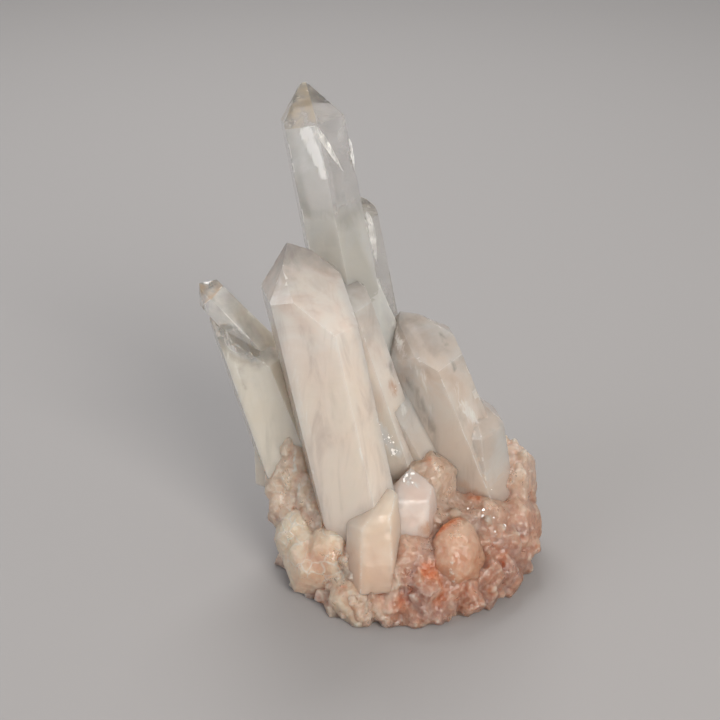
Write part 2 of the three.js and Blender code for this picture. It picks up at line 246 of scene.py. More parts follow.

# Breaks and white veils that lie in the faces, painted white: partly real breaks and veils, partly painted
# internal reflections and highlights.
BREAK_AND_PAINTED_GLEAM_STROKES = [
    ((-28.8, 13.1, 130.6), (-23.8, 9.9, 118.6), 1.0, 1.3),
    ((-29.9, 13.5, 130.2), (-26.0, 11.2, 122.6), 0.9, 1.2),
    ((-27.7, 12.6, 131.0), (-24.6, 10.6, 122.0), 0.9, 1.3),
    ((-26.4, 12.3, 131.4), (-19.0, 13.0, 118.8), 0.6, 0.9),
    ((-4.2, 8.4, 74.3), (-2.6, 2.7, 70.5), 1.2, 1.0),
    ((-2.6, 2.7, 70.5), (4.2, -2.2, 62.4), 1.5, 0.75),
    ((4.2, -2.2, 62.4), (6.3, -2.1, 48.5), 1.3, 0.7),
    ((13.2, -2.1, 60.1), (16.2, -2.4, 53.6), 1.5, 0.55),
    ((15.3, -2.9, 54.0), (19.0, -2.2, 48.6), 1.8, 0.9),
    ((-54.2, 2.4, 83.6), (-48.6, -0.6, 76.6), 0.8, 0.9),
    ((-52.6, -2.4, 73.2), (-50.4, -3.4, 65), 0.7, 0.9),
    ((-49.4, -3.4, 68), (-47.6, -4.2, 60), 0.6, 0.8),
    ((-32.7, -17.2, 83.8), (-29.2, -18.8, 55.1), 2.6, 0.5),
    ((-8.6, -5, 48), (-3.6, -6.6, 40), 1.6, 1.2),
    ((-1.9, -2.4, 53.7), (-1, -2.8, 51.6), 1.0, 1.0),
    ((-0.8, -13.6, 38), (1.8, -16.2, 36.2), 1.8, 1.2),
    ((-33.5, -9.6, 42), (-31.5, -12, 30), 0.9, 1.0),
    ((-36.4, -9.6, 34), (-34.6, -11, 24), 0.7, 0.9),
    ((-29, -13, 24), (-26.6, -17, 19), 0.7, 1.0),
    ((-18, -30, 9), (-14, -33, 3), 1.6, 0.8),
    ((11.6, -31.4, 19), (12.6, -32.4, 12), 1.6, 0.75),
    ((20, -19, 24), (28, -11, 20), 3.0, 0.6),
]

# Small greyish flaws, and the crease where two crystals meet, which is painted shade.
FLAW_AND_CREASE_SHADE_STROKES = [
    ((9.2, 6.6, 72.2), (10.7, 4.0, 70.2), 0.8, 0.8),
    ((12.2, -0.1, 66.4), (13.1, -0.6, 64.4), 0.7, 0.9),
    # The crease where two crystals meet: painted shade.
    ((-5.5, -0.9, 65.6), (1.8, -1.0, 57.9), 1.4, 0.85),
    ((1.8, -1.0, 57.9), (7.2, -2.3, 45.2), 1.5, 0.8),
]

MARKS = {"rust": RUST_STROKES, "breaks_and_painted_gleam": BREAK_AND_PAINTED_GLEAM_STROKES, "flaws_and_crease_shade_marks": FLAW_AND_CREASE_SHADE_STROKES}

# Windows that the clouds leave clear, and how strongly they take the clouds away.
WINDOW_STRENGTH = 1.4
CLEAR_STROKES = [
    ((-47.6, -1.4, 75), (-42.6, -2.8, 68.6), 2.6, 0.5),
    ((-45, 0, 77), (-38.6, -2.2, 69.6), 1.6, 0.4),
    ((-47.6, -3.2, 66), (-46.6, -4, 60), 1.0, 0.4),
]

# Chips knocked out of the edges: centre, radius and depth.
CHIPS = [
    ((-15.6, 16.4, 121.4), 1.7, 0.9),
    ((20.0, 0.5, 56.0), 1.5, 0.6),
]

# Clusters of tiny bright steps: centre, reach and how many.
SPARKLES = [
    ((-9, -15.5, 55), 2.4, 8),
    ((-6, -5.8, 44), 1.8, 22),
    ((-3.6, -6.6, 40), 1.2, 14),
    ((0.2, -14.6, 37.4), 1.6, 20),
    ((-3.7, -1.8, 59.2), 1.4, 5),
    ((-16.5, -31, 7), 2.6, 13),
    ((-32, -7, 34), 2.6, 10),
    ((-29.6, -10, 24), 2.2, 8),
    ((22, -10, 24), 4.0, 10),
    ((26, -14, 17), 4.0, 10),
    ((4, 30, 20), 9.0, 12),
]

# Cracks inside the crystals: from, to, width and which way they face.
CRACKS = [
    # In the tall crystals.
    ((-30.6, 15.2, 130.4), (-24.4, 11.6, 117.5), 3.6, (-0.37, -0.92, 0.1)),
    ((-26.4, 13.4, 131.6), (-19.0, 14.2, 118.6), 1.9, (0.45, -0.85, 0.3)),
    ((-17.0, 17.5, 127.0), (-15.4, 16.8, 117.0), 1.3, (0.8, -0.6, 0.1)),
    ((-12.6, 19.0, 104.0), (-10.2, 16.5, 90.0), 2.2, (0.6, -0.8, 0.1)),
    # In the right ones.
    ((-2.6, 5.2, 71.6), (-1.2, 2.4, 63.0), 2.4, (-0.4, -0.85, 0.2)),
    ((1.0, 1.4, 68.6), (6.6, -0.6, 58.4), 3.0, (-0.4, -0.85, 0.2)),
    ((5.4, 0.2, 56.0), (9.0, -0.4, 45.0), 2.2, (-0.4, -0.85, 0.2)),
    ((12.0, 0.6, 66.0), (16.2, 0.4, 56.0), 0.8, (0.5, -0.8, 0.2)),
    ((16.0, -0.2, 54.0), (20.4, -0.6, 46.0), 4.6, (0.5, -0.8, 0.2)),
    # In the left ones.
    ((-53.4, 2.6, 84.6), (-46.6, 0.4, 75.0), 2.2, (-0.2, -0.95, 0.1)),
    ((-50.0, -1.6, 73.0), (-47.8, -2.6, 60.0), 2.8, (-0.2, -0.95, 0.1)),
    ((-52.0, 0.6, 76.0), (-49.6, -1.0, 66.0), 1.5, (-0.6, -0.8, 0.1)),
]


# Shapes

def wobble(i, k):
    """A repeatable number from 0 to 1 for item i and use k."""
    wave = math.sin(i * 12.9898 + k * 78.233) * 43758.5453
    return wave - math.floor(wave)


def between(low, high, share):
    return low + (high - low) * share


def smooth_step(value, start, end):
    share = max(0.0, min(1.0, (value - start) / (end - start)))
    return share * share * (3 - 2 * share)


def spread_directions(count, turn=0):
    """Directions spread evenly over a sphere by the golden angle."""
    golden_angle = math.pi * (3 - math.sqrt(5))
    directions = []
    for i in range(count):
        height = 1 - 2 * (i + 0.5) / count
        ring = math.sqrt(1 - height * height)
        around = i * golden_angle + turn
        directions.append(Vector((ring * math.cos(around), ring * math.sin(around), height)))
    return directions


def crystal_planes(spec):
    """The faces of a quartz point, each as a point on it and its outward normal: a prism face and a
    terminal face by turns, and the root last."""
    tip = spec["tip"]
    axis = spec["axis"]
    front = Vector((0, -1, 0))
    front = (front - axis * front.dot(axis)).normalized()
    side = -front.cross(axis)
    widening = math.radians(spec["taper"])
    planes = []
    for face in range(6):
        turn = math.radians(spec["spin"] + 60 * face)
        outward = front * math.cos(turn) + side * math.sin(turn)
        prism = outward * math.cos(widening) + axis * math.sin(widening)
        terminal = outward * math.sin(TERMINAL_SLOPE) + axis * math.cos(TERMINAL_SLOPE)
        planes.append((tip + outward * spec["across"][face], prism))
        planes.append((tip + axis * spec["rise"][face], terminal))
    planes.append((tip - axis * spec["length"], -axis))
    return planes


LARGE_SHAPES = [crystal_planes(spec) for spec in LARGE_CRYSTALS]


def everything(bm):
    return bm.verts[:] + bm.edges[:] + bm.faces[:]


def cut_off(bm, point, normal):
    """Takes away what lies beyond a plane and closes the cut with one face."""
    cut = bmesh.ops.bisect_plane(bm, geom=everything(bm), dist=1e-4, plane_co=point, plane_no=normal,
                                 clear_outer=True)
    rim = [e for e in cut["geom_cut"] if isinstance(e, bmesh.types.BMEdge)]
    if len(rim) > 2:
        bmesh.ops.edgeloop_fill(bm, edges=rim)


def cut_block(planes, centre, size):
    """A convex block: a cube cut by every plane, and by the ground where it reaches below it."""
    bm = bmesh.new()
    bmesh.ops.create_cube(bm, size=size, matrix=Matrix.Translation(centre))
    for point, normal in planes:
        cut_off(bm, point, normal)
    if min(v.co.z for v in bm.verts) < 0:
        cut_off(bm, Vector((0, 0, 0)), Vector((0, 0, -1)))
    bmesh.ops.recalc_face_normals(bm, faces=bm.faces)
    return bm


def crystal_solid(spec, room):
    """A quartz point as a closed block with flat faces, cut out of a cube as large as room."""
    return cut_block(crystal_planes(spec), spec["tip"] - spec["axis"] * spec["length"] / 2, room)


def lump_block(centre, half, faces, roughness, seed):
    """A blocky lump, cut by faces spread over an ellipsoid, some of them sunk more than others."""
    planes = []
    for i, normal in enumerate(spread_directions(faces, seed)):
        reach = (Vector(half) * normal).length * (1 - roughness * wobble(i, seed))
        planes.append((Vector(centre) + normal * reach, normal))
    return cut_block(planes, Vector(centre), 4 * max(half))


def crust_spec(i, count, start, end, low, high, lift, radius, length, seed):
    """Small crystal number i of a crust, rooted on the ellipsoid of the base."""
    draws = [wobble(i, seed + use) for use in range(6)]
    turn = math.radians(between(start, end, (i + draws[0]) / count))
    height = between(low, high, draws[1])
    ring = math.sqrt(1 - height * height)
    lift = math.radians(lift + CRUST_LIFT_SPREAD * (draws[2] - 0.5))
    swing = turn + CRUST_SWING_SPREAD * (draws[3] - 0.5)
    axis = Vector((math.cos(swing) * math.cos(lift), math.sin(swing) * math.cos(lift), math.sin(lift)))
    size = between(*CRUST_SIZES, draws[4])
    radius *= size
    root = Vector((BASE_HALF_WIDTH * ring * math.cos(turn),
                   BASE_HALF_DEPTH * ring * math.sin(turn), BASE_HEIGHT * height))
    return dict(
        tip=root + axis * CRUST_SHOWING * length * size, axis=axis, taper=1, spin=60 * draws[5],
        length=length * size, across=[part * radius for part in CRUST_ACROSS],
        rise=[part * radius for part in CRUST_RISE])


def slice_up(bm, spec, step):
    """Cuts the faces of a crystal into cells no longer than step, along its axis and across it."""
    axis = spec["axis"]
    side = axis.orthogonal().normalized()
    for direction, reach in ((axis, spec["length"]), (side, spec["width"]),
                             (axis.cross(side), spec["width"])):
        count = int(reach / step)
        low = -count if direction is axis else -count // 2
        high = 1 if direction is axis else count // 2
        for i in range(low, high):
            bmesh.ops.bisect_plane(bm, geom=everything(bm), dist=1e-4, plane_no=direction,
                                   plane_co=spec["tip"] + direction * (i + 0.37) * step)


def sharp_edges(bm):
    return [e for e in bm.edges if len(e.link_faces) == 2 and e.calc_face_angle(0) > SHARP_TURN]


def wear_edges(bm, depth):
    """Nibbles the sharp edges: some points of them sink a little into the crystal."""
    worn = {v for e in sharp_edges(bm) for v in e.verts}
    for v in worn:
        bite = noise.noise(v.co * WEAR_GRAIN) + 0.6 * noise.noise(v.co * WEAR_GRAIN * 3.1)
        v.co -= v.normal * depth * max(0.0, bite)


def chip_edges(bm):
    for centre, radius, depth in CHIPS:
        for v in bm.verts:
            closeness = 1 - (v.co - Vector(centre)).length / radius
            if closeness > 0:
                v.co -= v.normal * depth * min(1.0, 2 * closeness)


def ripple_faces(bm, depth, grain):
    for v in bm.verts:
        v.co += v.normal * depth * noise.noise(v.co * grain)


def round_edges(bm, width):
    bmesh.ops.bevel(bm, geom=sharp_edges(bm), offset=width, offset_type="OFFSET", affect="EDGES",
                    segments=2, profile=0.5, material=-1, clamp_overlap=True)


def relax(bm, rounds):
    for _ in range(rounds):
        bmesh.ops.smooth_vert(bm, verts=bm.verts, factor=0.5, use_axis_x=True, use_axis_y=True,
                              use_axis_z=True)


def near_stroke(place, strokes):
    """How strongly the nearest stroke marks a place, from 0 far away from all of them."""
    strongest = 0.0
    for start, end, width, strength in strokes:
        start = Vector(start)
        run = Vector(end) - start
        share = max(0.0, min(1.0, (place - start).dot(run) / run.length_squared))
        distance = (place - start - run * share).length
        strongest = max(strongest, strength * max(0.0, 1 - distance / (2 * width)))
    return strongest


def store(bm, name, value_of_vertex):
    """Keeps a number on every point of the mesh, for its material to read."""
    layer = bm.verts.layers.float.get(name) or bm.verts.layers.float.new(name)
    for v in bm.verts:
        v[layer] = value_of_vertex(v)


def mark_strokes(bm):
    for name, strokes in MARKS.items():
        store(bm, name, lambda v: near_stroke(v.co, strokes))


def mesh_of(bm, name):
    """What a bmesh holds as a mesh. The bmesh is freed."""
    mesh = bpy.data.meshes.new(name)
    bm.to_mesh(mesh)
    bm.free()
    return mesh


def placed(name, data):
    """A new object in the scene, at the origin."""
    thing = bpy.data.objects.new(name, data)
    bpy.context.scene.collection.objects.link(thing)
    return thing


def merged_mesh(blocks):
    """Several bmeshes as one."""
    whole = bmesh.new()
    for block in blocks:
        mesh = mesh_of(block, "block")
        whole.from_mesh(mesh)
        bpy.data.meshes.remove(mesh)
    return whole


def taken_from(carriers):
    """The bmesh that the first carrier's modifiers make. The carriers are removed."""
    graph = bpy.context.evaluated_depsgraph_get()
    whole = bmesh.new()
    whole.from_object(carriers[0], graph)
    for carrier in carriers:
        mesh = carrier.data
        bpy.data.objects.remove(carrier)
        bpy.data.meshes.remove(mesh)
    return whole


def grown_together(blocks):
    """Closed blocks joined into one skin, with nothing of them left inside it."""
    carriers = [placed("carrier", mesh_of(block, "carrier")) for block in blocks]
    for other in carriers[1:]:
        join = carriers[0].modifiers.new("join", "BOOLEAN")
        join.operation = "UNION"
        join.solver = "MANIFOLD"
        join.object = other
    return taken_from(carriers)


def waxy_skin(blocks, voxel, rounds, ripples):
    """One soft skin round blocks, worn round and rippled, each ripple a depth and a grain."""
    carrier = placed("carrier", mesh_of(merged_mesh(blocks), "carrier"))
    remesh = carrier.modifiers.new("remesh", "REMESH")
    remesh.mode = "VOXEL"
    remesh.voxel_size = voxel
    skin = taken_from([carrier])
    relax(skin, rounds)
    for depth, grain in ripples:
        skin.normal_update()
        ripple_faces(skin, depth, grain)
    for v in skin.verts:
        v.co.z = max(v.co.z, 0)
    return skin


def finish_piece(bm, name, material, smooth_angle):
    """Makes a bmesh in millimetres a piece in metres that belongs to the cluster."""
    bmesh.ops.scale(bm, vec=(MM, MM, MM), verts=bm.verts)
    mesh = mesh_of(bm, name)
    mesh.shade_smooth()
    mesh.set_sharp_from_angle(angle=math.radians(smooth_angle))
    mesh.materials.append(material)
    piece = placed(name, mesh)
    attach(piece, "root")
    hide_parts("quartz_cluster")
    return piece


# Materials

QUARTZ_IOR = 1.544


def linear(code):
    """An sRGB hex colour as the linear values that a shader takes."""
    parts = [int(code[i:i + 2], 16) / 255 for i in (1, 3, 5)]
    return [p / 12.92 if p <= 0.04045 else ((p + 0.055) / 1.055) ** 2.4 for p in parts] + [1]


def fill(node, inputs):
    """Gives a node its inputs, each a link, a plain value or an sRGB hex colour."""
    for key, value in inputs.items():
        if isinstance(value, bpy.types.NodeSocket):
            node.id_data.links.new(value, node.inputs[key])
        else:
            node.inputs[key].default_value = linear(value) if isinstance(value, str) else value


def add(tree, kind, inputs, output=0, **settings):
    """Adds a node with its settings and inputs, and gives back one of its outputs. The id_data of a
    node or an output is the tree that it is in."""
    node = tree.nodes.new("ShaderNode" + kind)
    for key, value in settings.items():
        setattr(node, key, value)
    fill(node, inputs)
    return node.outputs[output]


def new_material(name):
    """A material, its shader, and the places on a piece that its patterns follow."""
    material = bpy.data.materials.new(name)
    material.use_nodes = True
    tree = material.node_tree
    return material, tree.nodes["Principled BSDF"], add(tree, "TexCoord", {}, "Object")


def patterns(place, *grains):
    """Noise in several grains, each its size in millimetres, its detail and its distortion."""
    return [add(place.id_data, "TexNoise", {"Vector": place, "Scale": 1 / (size * MM),
                                            "Detail": detail, "Roughness": 0.6,
                                            "Distortion": distortion})
            for size, detail, distortion in grains]


def drawn_out(place):
    """Places drawn out along the crystals, which lean about 11 degrees left and 8 back."""
    return add(place.id_data, "Mapping", {"Vector": place, "Scale": (1, 1, 0.25),
                                          "Rotation": (0.14, 0.19, 0)})


def total(*terms):
    """The sum of several values, each times its share."""
    result = 0.0
    for value, share in terms:
        result = add(value.id_data, "Math", {0: value, 1: share, 2: result}, operation="MULTIPLY_ADD")
    return result


def amount(terms, start, end, top=1.0, bottom=0.0):
    """How much there is of something: it goes smoothly from bottom to top while a value, or the sum
    of several terms, goes from start to end."""
    value = total(*terms) if isinstance(terms, tuple) else terms
    return add(value.id_data, "MapRange", {"Value": value, "From Min": start, "From Max": end,
                                           "To Min": bottom, "To Max": top},
               interpolation_type="SMOOTHSTEP")


def layered(base, *layers):
    """Colours laid one over another, each with how much of it shows."""
    for share, colour in layers:
        base = add(share.id_data, "Mix", {"Factor": share, "A": base, "B": colour}, "Result",
                   data_type="RGBA")
    return base


def relief(*heights, normal=None):
    """The normal of a surface with reliefs one on another, each a height, a strength and its depth
    in millimetres."""
    for height, strength, depth in heights:
        inputs = {"Height": height, "Strength": strength, "Distance": depth * MM}
        if normal is not None:
            inputs["Normal"] = normal
        normal = add(height.id_data, "Bump", inputs)
    return normal


def grown_quartz(name, milk, blush, root, shade, film, clearest, cloudiest, light_depth, streak_shade,
                 densest=1.5, etched=0.0, patchy=0.95):
    """A natural quartz point: glass clear at the tip, then clouded by fluid inclusions close under
    the surface, which scatter the light, so that the faces look soft and still shine like glass. The
    clouds are drawn out in veils along the c axis, with darker streaks among them that are painted
    shade, and the body is painted a shade greyer toward the tip. Some prism faces are made cloudier,
    partly as a painted highlight on the faces lit from the left. The edges are whitened, partly as
    frost of small chips and partly as a painted highlight. White strokes on the faces are partly real
    breaks and partly painted internal reflections, and the darker crease where two crystals meet is
    painted shade. A tan tint may lie on the terminal faces, partly a thin stain and partly a painted
    reflection of the base, and the foot takes on the tan of the base."""
    material, shader, place = new_material(name)
    tree = place.id_data
    height = add(tree, "SeparateXYZ", {0: place}, "Z")
    along, milky, haze, edge, prism, film_and_reflection_faces, rusty, breaks_and_painted_gleam_marks, flaws_and_crease_shade_marks = [
        add(tree, "Attribute", {}, "Fac", attribute_name=name)
        for name in ("along", "milk", "haze", "edge", "prism", "film", "rust", "breaks_and_painted_gleam", "flaws_and_crease_shade_marks")]
    cloud, smear = patterns(place, (14.286, 5, 0.7), (5.882, 5, 0))
    streaks, broken = patterns(drawn_out(place), (5.263, 4, 0.5), (1.4286, 4, 1.0))

    veil = amount(((milky, 1), (cloud, patchy), (streaks, 0.6)), 0.7, densest)
    rust = amount(((rusty, 1), (broken, 0.8)), 0.7, 1.5, 0.75)
    breaks_and_painted_gleam = amount(((breaks_and_painted_gleam_marks, 1), (broken, 1.5)), 1.15, 1.75, 0.85)
    flaws_and_crease_shade = amount(((flaws_and_crease_shade_marks, 1), (broken, 0.9)), 0.7, 1.4, 0.6)
    film_and_reflection_share = add(tree, "Math", {0: film_and_reflection_faces, 1: amount(smear, 0.3, 0.6)}, operation="MULTIPLY")
    # Some prism faces are made cloudier partly as a painted highlight, paler where the light falls from
    # the left.
    milkiness = total((veil, 1), (haze, 1), (edge, 0.35), (rust, 0.8), (breaks_and_painted_gleam, 0.6), (film_and_reflection_share, 0.6))
    clearness = add(tree, "MapRange", {"Value": milkiness, "To Min": clearest, "To Max": cloudiest})

    body = layered(
        blush,
        (amount(cloud, 0.36, 0.64), milk),
        (amount(along, 12, 46), root),
        # Greyer toward the tip: painted shade.
        (amount(along, 26, 8, 0.4), shade),
        # Darker streaks along the c axis: painted shade.
        (amount(streaks, 0.45, 0.75, streak_shade), shade),
        (amount(height, 32 * MM, 8 * MM, 0.85), "#E0BCA2"))
    colour = layered(
        "#FCFBF9",
        (amount(milkiness, 0, 0.7), body),
        # A tan tint on the terminal faces: partly a thin stain, partly a painted reflection of the base.
        (film_and_reflection_share, film),
        (rust, "#C4926C"),
        # White strokes: partly real breaks, partly painted internal reflections and highlights.
        (breaks_and_painted_gleam, "#FDFCF9"),
        # Whiter edges: partly frost of small chips, partly a painted highlight.
        (amount(edge, 0, 1, 0.5), "#FEFBF6"),
        # Greyish flaws, and painted shade along the crease where two crystals meet.
        (flaws_and_crease_shade, "#8E8A88"))

    # Natural faces have a greasy gloss, and growth lines across the prism 0.4 to 2 mm apart.
    gloss = add(tree, "MapRange", {"Value": smear, "From Min": 0.4, "From Max": 0.72,
                                   "To Min": 0.01 + etched, "To Max": 0.12 + etched})
    lines = add(tree, "TexNoise", {"W": along, "Scale": 0.9, "Detail": 5, "Roughness": 0.7},
                noise_dimensions="1D")
    growth = add(tree, "Math", {0: lines, 1: prism}, operation="MULTIPLY")
    fill(shader, {
        "Base Color": colour,
        "Transmission Weight": clearness,
        "Roughness": total((gloss, 1), (edge, 0.12), (haze, 0.12)),
        "Normal": relief((growth, 0.12, 0.4), (smear, 0.06 + 0.4 * etched, 0.4)),
        "IOR": QUARTZ_IOR,
        "Subsurface Weight": 1.0,
        "Subsurface Radius": (1.0, 0.93, 0.88),
        "Subsurface Scale": light_depth})
    absorb = add(tree, "VolumeAbsorption", {"Color": "#F6EFE8", "Density": 12.0})
    fill(tree.nodes["Material Output"], {"Volume": absorb})
    return material


def inclusion_cloud(name, milk, blush):
    """The dense cloud of fluid inclusions deep in a crystal: white, soft and without any shine of
    its own, because it lies inside the quartz."""
    material, shader, place = new_material(name)
    [wisp] = patterns(drawn_out(place), (3.333, 6, 0.8))
    [puff] = patterns(place, (16.667, 6, 0))
    fill(shader, {
        "Base Color": layered(blush, (amount(puff, 0.36, 0.6), milk),
                              (amount(wisp, 0.45, 0.7, 0.5), "#C9C3BD")),
        "Normal": relief((wisp, 0.6, 1.5)),
        "Roughness": 0.8,
        "Specular IOR Level": 0.0})
    return material


def open_fracture(name):
    """A crack inside the crystal with air in it: it throws the light back like silver, in streaks
    that follow the steps of the break."""
    material, shader, place = new_material(name)
    [steps] = patterns(drawn_out(place), (1.6667, 5, 1.2))
    fill(shader, {
        "Base Color": "#FDFCFA",
        "Alpha": amount(steps, 0.34, 0.55, 0.95, 0.3),
        "Normal": relief((steps, 0.4, 0.6)),
        "Metallic": 0.3,
        "Roughness": 0.3})
    return material


def bright_break(name):
    """Fresh broken steps of quartz, too small to see one by one: each throws back the lamp, white."""
    material, shader, place = new_material(name)
    [shine] = patterns(place, (1.1111, 3, 0))
    fill(shader, {
        "Base Color": layered("#FFFFFF", (shine, "#F1EBE3")),
        "Roughness": amount(shine, 0.3, 0.7, 0.25, 0.06),
        "IOR": QUARTZ_IOR,
        "Coat Weight": 0.6,
        "Transmission Weight": 0.1})
    return material


def stained_quartz(name, pale, pink, mauve, stain, pit, clear, light_depth, grains, cells=0.0):
    """Massive and crusted quartz: tan, peach and mauve, translucent like wax at the thin edges, with
    a sugary surface. Iron oxide has settled in the crevices, orange first and red-brown in the pits.
    On the left the outlines of intergrown crystals show as thin white lines, and the rims that stand
    out are whitened: both are painted highlights, and so are the white strokes on the rock."""
    material, shader, place = new_material(name)
    tree = place.id_data
    side = add(tree, "SeparateXYZ", {0: place}, "X")
    height = side.node.outputs["Z"]
    crevice, ridge, rusty, breaks_and_painted_gleam_marks = [add(tree, "Attribute", {}, "Fac", attribute_name=name)
                                       for name in ("crevice", "ridge", "rust", "breaks_and_painted_gleam")]
    broad, middle, fine, bloom, window = patterns(
        place, (16.667, 4, 0.6), (4.762, 5, 0.1), (1.25, 4, 0), (10.526, 3, 1.0), (7.692, 2, 0))

    # The left third of the base is beige, and it turns to peach and mauve toward the right. High up,
    # and in the open, the rock is paler.
    across = add(tree, "MapRange", {"Value": side, "From Min": -36 * MM, "From Max": 4 * MM,
                                    "To Min": -0.16, "To Max": 0.2})
    rock = layered(
        pale,
        (amount(((across, 1), (broad, 1)), 0.34, 0.66), pink),
        (amount(bloom, 0.46, 0.62, 0.8), mauve),
        (amount(middle, 0.5, 0.7, 0.55), pale),
        (amount(fine, 0.5, 0.7, 0.45), pale),
        (amount(fine, 0.46, 0.3, 0.4), pink),
        (amount(height, 14 * MM, 30 * MM, 0.75), pale))

    settled = total((crevice, 1), (middle, 0.7))
    patch = amount(((rusty, 1), (middle, 0.8), (fine, 0.8)), 1.05, 1.75, 0.85)
    staining = add(tree, "Math", {0: amount(settled, 0.7, 1.1, 0.7), 1: patch},
                   operation="MAXIMUM")

    # The outlines of the crystals are cells about 4 mm across, bent a little, drawn as painted highlight
    # lines.
    bend = add(tree, "TexNoise", {"Vector": place, "Scale": 1 / (6.25 * MM), "Detail": 2}, "Color")
    bent = add(tree, "VectorMath", {0: bend, 1: (3 * MM, 3 * MM, 3 * MM), 2: place},
               operation="MULTIPLY_ADD")
    outline = add(tree, "TexVoronoi", {"Vector": bent, "Scale": 1 / (4.348 * MM)}, "Distance",
                  feature="DISTANCE_TO_EDGE")
    line = amount(outline, 0, 0.07, 0, cells)
    for limit in (amount(side, -6 * MM, -22 * MM), amount(window, 0.46, 0.6)):
        line = add(tree, "Math", {0: line, 1: limit}, operation="MULTIPLY")
    # White strokes on the rock: painted highlights.
    breaks_and_painted_gleam = amount(((breaks_and_painted_gleam_marks, 1), (fine, 1.5)), 1.35, 1.65)
    line = add(tree, "Math", {0: line, 1: breaks_and_painted_gleam}, operation="MAXIMUM")
    # Rims that stand out from their surroundings are whitened: a painted highlight.
    rim = amount(((ridge, 1), (fine, 0.3)), 0.42, 0.9, 0.45)
    painted_rim_and_line_highlight = add(tree, "Math", {0: rim, 1: line}, operation="MAXIMUM")
    colour = layered(
        rock,
        (staining, stain),
        (amount(settled, 1.0, 1.35, 0.55), pit),
        (painted_rim_and_line_highlight, "#FBEEE2"))

    # Sugary grains about 1 mm across, each with a face that is tilted its own way.
    grain = add(tree, "TexVoronoi", {"Vector": place, "Scale": 1 / (1.0526 * MM)}, "Color", feature="F1")
    centred = add(tree, "VectorMath", {0: grain, 1: (0.5, 0.5, 0.5)}, operation="SUBTRACT")
    facing = add(tree, "NewGeometry", {}, "Normal")
    tilted = add(tree, "VectorMath", {0: centred, 1: (grains, grains, grains), 2: facing},
                 operation="MULTIPLY_ADD")
    tilted = add(tree, "VectorMath", {0: tilted}, operation="NORMALIZE")
    fill(shader, {
        "Base Color": colour,
        "Transmission Weight": amount(staining, 0, 1, 0.05, clear),
        "Roughness": amount(middle, 0.35, 0.65, 0.48, 0.27),
        "Normal": relief((fine, 0.2, 0.6), (line, 0.4, 0.6), (middle, 0.3, 1.5), normal=tilted),
        "IOR": QUARTZ_IOR,
        "Subsurface Weight": 1.0,
        "Subsurface Radius": (1.0, 0.86, 0.78),
        "Subsurface Scale": light_depth})
    return material


# Crystals

def crystal_block(spec, wear, bevel):
    """One quartz point as a closed block, with worn edges and faintly uneven faces."""
    bm = crystal_solid(spec, 3 * spec["length"])
    slice_up(bm, spec, FACE_STEP)
    wear_edges(bm, wear)
    chip_edges(bm)
    ripple_faces(bm, depth=0.04, grain=0.12)
    round_edges(bm, bevel)
    return bm


def nearest_face(place, crystals, facing=None):
    """Which crystal and which of its faces a point of the joined skin lies on. Where two crystals
    pass close by, the one whose face is turned as the skin is."""
    best = None
    for spec, planes in crystals:
        if (spec["tip"] - place).dot(spec["axis"]) > spec["length"] + 1:
            continue
        heights = [(place - point).dot(normal) for point, normal in planes]
        face = max(range(len(heights)), key=heights.__getitem__)
        miss = abs(heights[face])
        if facing:
            miss += 2 * (1 - facing.dot(planes[face][1]))
        if best is None or miss < best[0]:
            best = (miss, spec, planes, face)
    return best[1:]


def describe_faces(bm, specs, flat_enough):
    """Keeps on the skin what its material needs: for each point the depth under its tip and how milky
    it is, and for each face whether it is a prism face or an edge, how cloudy it is, partly as a
    painted highlight, and its tan tint, partly a thin stain and partly a painted reflection."""
    crystals = [(spec, crystal_planes(spec)) for spec in specs]
    bm.normal_update()
    along, milk = [bm.verts.layers.float.new(name) for name in ("along", "milk")]
    for v in bm.verts:
        spec, planes, _ = nearest_face(v.co, crystals)
        v[along] = (spec["tip"] - v.co).dot(spec["axis"])
        v[milk] = smooth_step(v[along], spec["clear"], spec["milky"])
        v[milk] -= WINDOW_STRENGTH * near_stroke(v.co, CLEAR_STROKES)
        if spec is RIM_SPEC:
            point, normal = planes[2 * RIM_FACE + 1]
            depth = (point - v.co).dot(normal)
            v[milk] *= between(RIM_CLOUDS, 1, smooth_step(depth, RIM_DEPTH - 1, RIM_DEPTH + 1))
    edge, prism, haze, film = [bm.faces.layers.float.new(name)
                               for name in ("edge", "prism", "haze", "film")]
    for f in bm.faces:
        spec, planes, face = nearest_face(f.calc_center_median(), crystals, f.normal)
        flat = abs(f.normal.dot(planes[face][1])) > flat_enough
        f[edge] = 0.0 if flat else 1.0
        f[prism] = 1.0 if flat and face % 2 == 0 else 0.0
        if face < ROOT_FACE:
            f[haze] = spec["haze"][face // 2] if face % 2 == 0 else 0.0
            f[film] = spec["film"][face // 2] if face % 2 == 1 else 0.0
    mark_strokes(bm)


def crystal_group(name, specs, material):
    """Crystals grown together, with the sharp edges and flat faces of fresh quartz."""
    bm = grown_together([crystal_block(spec, wear=0.3, bevel=0.2) for spec in specs])
    describe_faces(bm, specs, flat_enough=0.985)
    return finish_piece(bm, name, material, smooth_angle=12)


def worn_crystal(name, spec, material):
    """A crystal that has been etched: its edges are soft and its faces uneven."""
    skin = waxy_skin([crystal_block(spec, wear=1.2, bevel=0.7)], voxel=0.4, rounds=9,
                     ripples=((0.4, 0.12), (0.16, 0.4)))
    describe_faces(skin, (spec,), flat_enough=0.86)
    return finish_piece(skin, name, material, smooth_angle=50)


